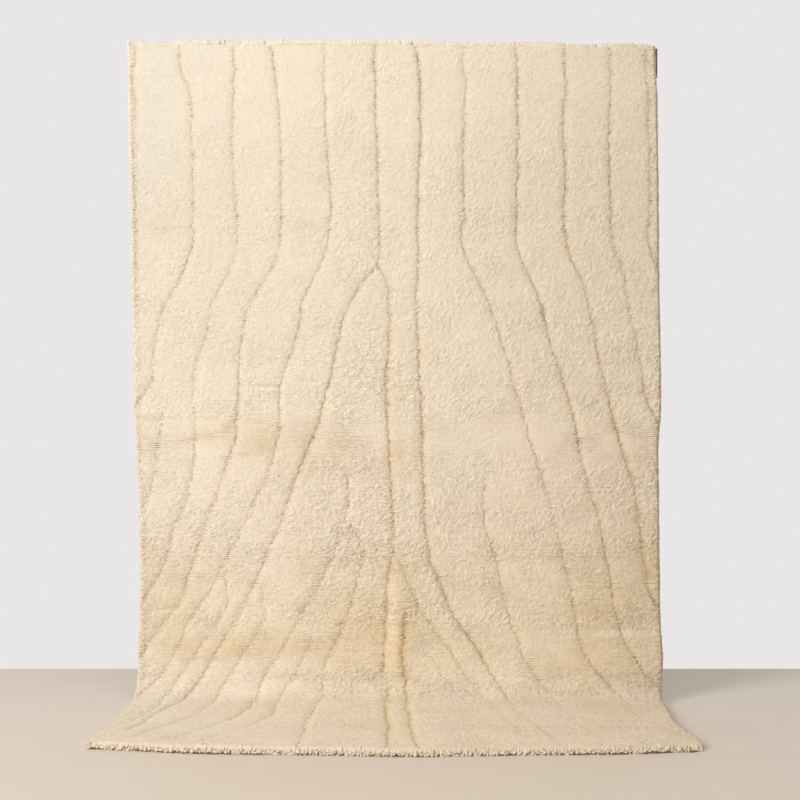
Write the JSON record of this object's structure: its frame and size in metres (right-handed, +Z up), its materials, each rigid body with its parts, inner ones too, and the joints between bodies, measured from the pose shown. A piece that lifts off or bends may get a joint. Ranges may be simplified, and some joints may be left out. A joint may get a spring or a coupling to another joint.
{
  "type": "thick-pile wool rug hung over a wooden rail",
  "caption": "Thick cream wool rug with wandering carved lines, hung over a plain wooden rail and sweeping forward onto the floor, with a tufted front edge.",
  "frame": {"origin": "middle of the rail's back face, where the rail is fixed to what holds it up", "axes": "+Z up, +X to the right seen from the pile side, the pile faces -Y and the rug runs forward on the floor towards -Y"},
  "size_m": [2.0206, 0.8138, 2.4963],
  "materials": {
    "wool": "dense matt wool pile, carved",
    "fringe": "matt cut wool tufts",
    "wood": "planed, plain",
    "tack": "dark, worn"
  },
  "bodies": {
    "root": {"rail": "wood", "rug": "wool", "front_fringe": "fringe", "tack_1": "tack", "tack_2": "tack", "tack_3": "tack", "tack_4": "tack", "tack_5": "tack", "tack_6": "tack", "tack_7": "tack", "tack_8": "tack"}
  },
  "joints": []
}
